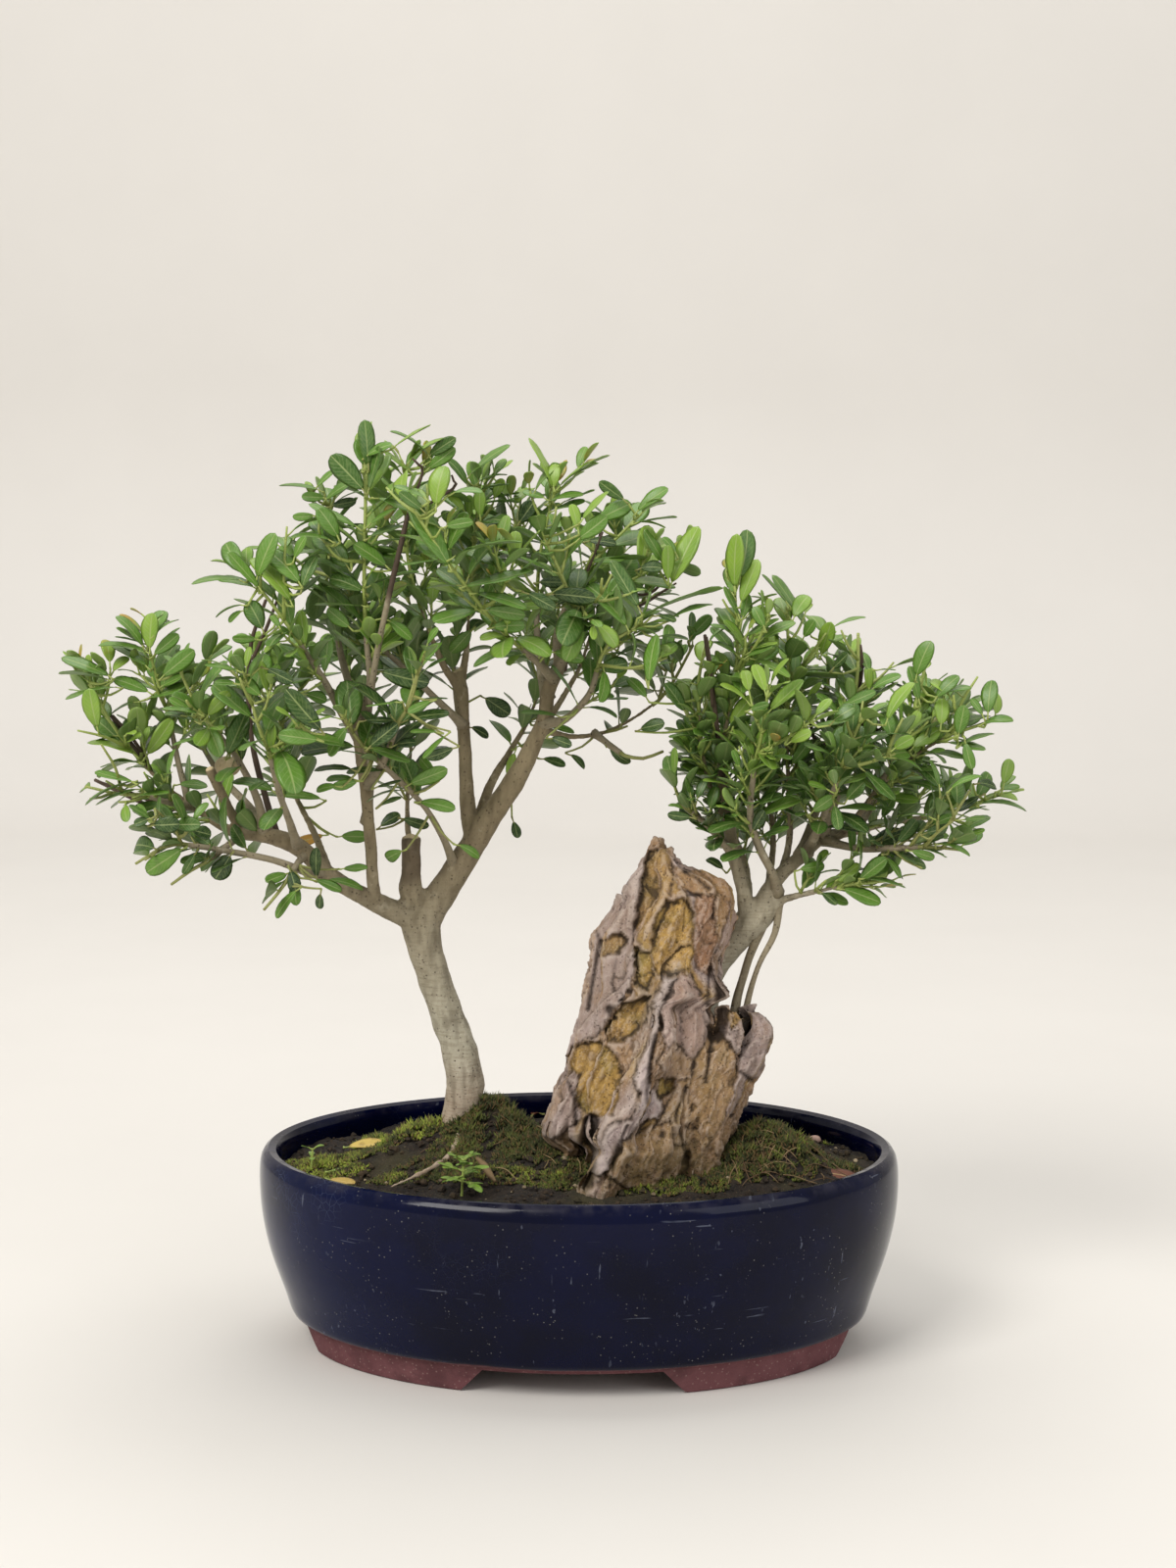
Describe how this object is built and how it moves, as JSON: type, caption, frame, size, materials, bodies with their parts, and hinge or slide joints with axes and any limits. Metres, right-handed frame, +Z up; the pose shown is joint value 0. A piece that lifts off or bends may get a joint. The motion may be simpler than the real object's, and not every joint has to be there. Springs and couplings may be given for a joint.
{
  "type": "privet bonsai",
  "caption": "Two small-leaved privet trees trained as bonsai, one beside and one behind an upright craggy rock, in a low oval glazed pot on unglazed feet.",
  "frame": {"origin": "bottom centre of the whole object's box, on the surface that the pot's feet stand on", "axes": "+X to the right along the pot's length, +Y to the back, +Z up; the front of the planting faces -Y"},
  "size_m": [0.3942, 0.182, 0.3712],
  "materials": {
    "glazed_pot": "dark cobalt glaze, glossy, finely crazed, with bare mauve clay feet",
    "soil": "dark granular soil with moss, matt",
    "rock": "rough, grey-mauve ridges with ochre hollows",
    "bark": "smooth grey-beige bark with fine pores",
    "drain_mesh": "matt black",
    "leaf_young": "satin, light yellow-green leaves and young stems",
    "leaf_grown": "waxy mid-green leaves",
    "leaf_old": "waxy dark green leaves",
    "fallen_leaf": "dry, pale yellow",
    "dry_leaf": "dry, red-brown"
  },
  "bodies": {
    "root": {"drain_mesh_left": "drain_mesh", "drain_mesh_right": "drain_mesh", "fallen_leaf_brown": "dry_leaf", "fallen_leaf_pale": "fallen_leaf", "fallen_leaf_yellow": "fallen_leaf", "left_spray_far_left": "leaf_young", "left_spray_left_back": "leaf_grown", "left_spray_left_far_back": "leaf_grown", "left_spray_left_front": "leaf_grown", "left_spray_left_hanging": "leaf_old", "left_spray_left_low": "leaf_old", "left_spray_left_lowest": "leaf_old", "left_spray_left_outer_low": "leaf_grown", "left_spray_left_sprout": "leaf_grown", "left_spray_left_upper": "leaf_young", "left_spray_middle_back": "leaf_grown", "left_spray_middle_left": "leaf_young", "left_spray_middle_right": "leaf_grown", "left_spray_middle_thin": "leaf_grown", "left_spray_right_back": "leaf_grown", "left_spray_right_centre": "leaf_grown", "left_spray_right_curve": "leaf_grown", "left_spray_right_front": "leaf_young", "left_spray_right_low_twig": "leaf_old", "left_spray_right_side": "leaf_old", "left_spray_right_top": "leaf_young", "left_spray_right_top_back": "leaf_young", "left_spray_right_under": "leaf_old", "left_spray_right_upper_back": "leaf_grown", "left_spray_sprout_back": "leaf_grown", "left_spray_sprout_front": "leaf_old", "left_spray_sprout_left": "leaf_young", "left_spray_sprout_top": "leaf_young", "left_spray_sprout_upper": "leaf_grown", "left_spray_trunk_back": "leaf_old", "left_tree_wood": "bark", "pocket_soil": "soil", "pot": "glazed_pot", "right_spray_diagonal": "leaf_young", "right_spray_front": "leaf_grown", "right_spray_inner": "leaf_young", "right_spray_inner_back": "leaf_grown", "right_spray_left_back": "leaf_grown", "right_spray_left_edge": "leaf_young", "right_spray_left_low": "leaf_old", "right_spray_long_right": "leaf_young", "right_spray_long_right_up": "leaf_young", "right_spray_low_front": "leaf_young", "right_spray_low_right": "leaf_young", "right_spray_low_right_back": "leaf_old", "right_spray_low_right_front": "leaf_old", "right_spray_middle_up": "leaf_grown", "right_spray_right_back": "leaf_grown", "right_spray_upright": "leaf_young", "right_tree_wood": "bark", "rock": "rock", "seedling_pale": "leaf_young", "seedling_weed": "leaf_young", "soil": "soil"}
  },
  "joints": []
}
